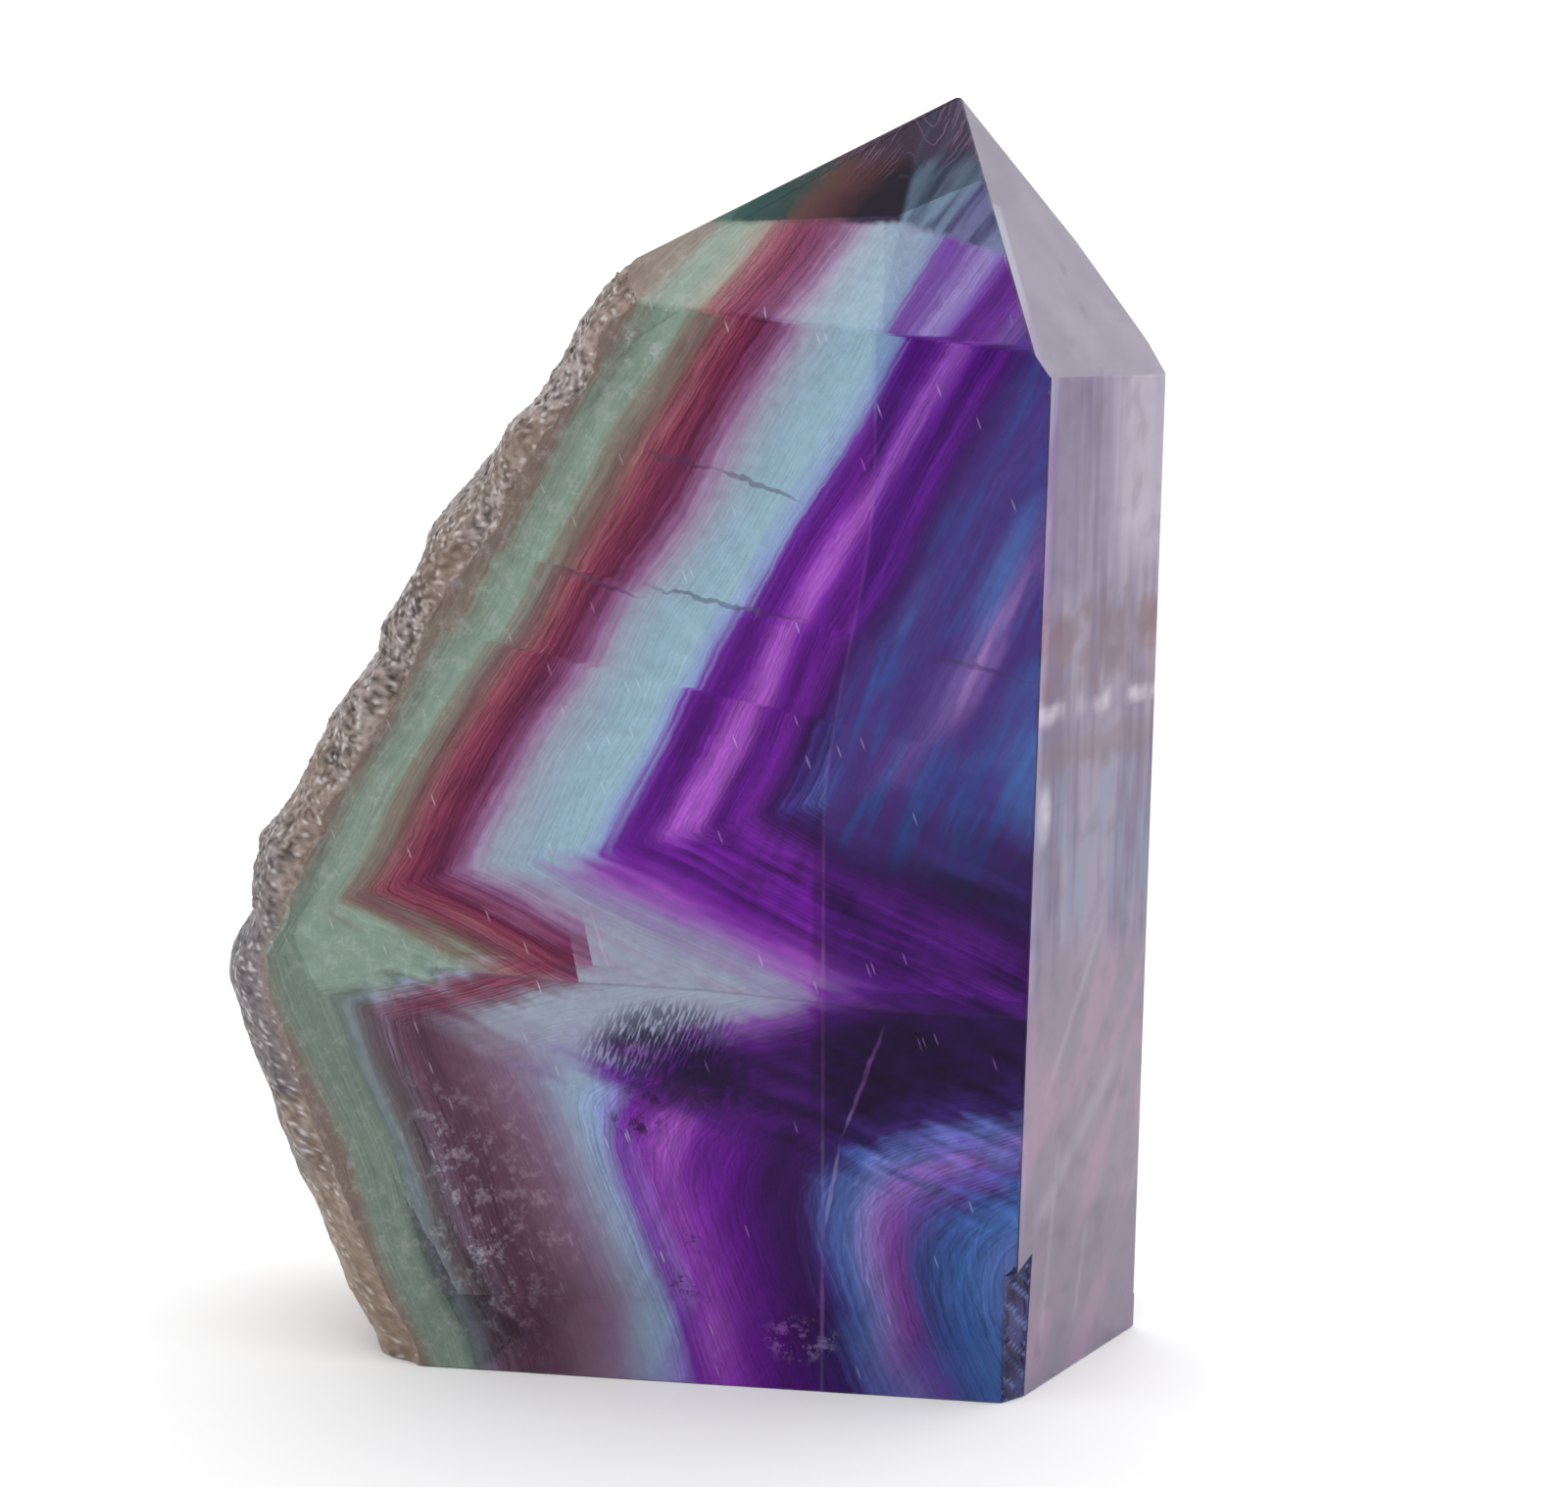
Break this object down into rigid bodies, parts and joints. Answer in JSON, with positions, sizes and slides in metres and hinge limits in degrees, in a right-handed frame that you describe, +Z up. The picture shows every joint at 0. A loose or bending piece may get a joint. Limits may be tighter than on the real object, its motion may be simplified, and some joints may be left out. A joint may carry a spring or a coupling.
{
  "type": "fluorite point",
  "caption": "Polished upright point of banded purple, blue, wine and green fluorite with a raw rind down one side, standing on its flat base.",
  "frame": {"origin": "middle of the bounding box at the sawn base, on the surface the stone stands on", "axes": "+Z up towards the tip, -Y out of the wide front facet, -X towards the raw rind"},
  "size_m": [0.0752, 0.0362, 0.0996],
  "materials": {
    "fluorite": "polished"
  },
  "bodies": {
    "root": {"fluorite_point": "fluorite"}
  },
  "joints": []
}
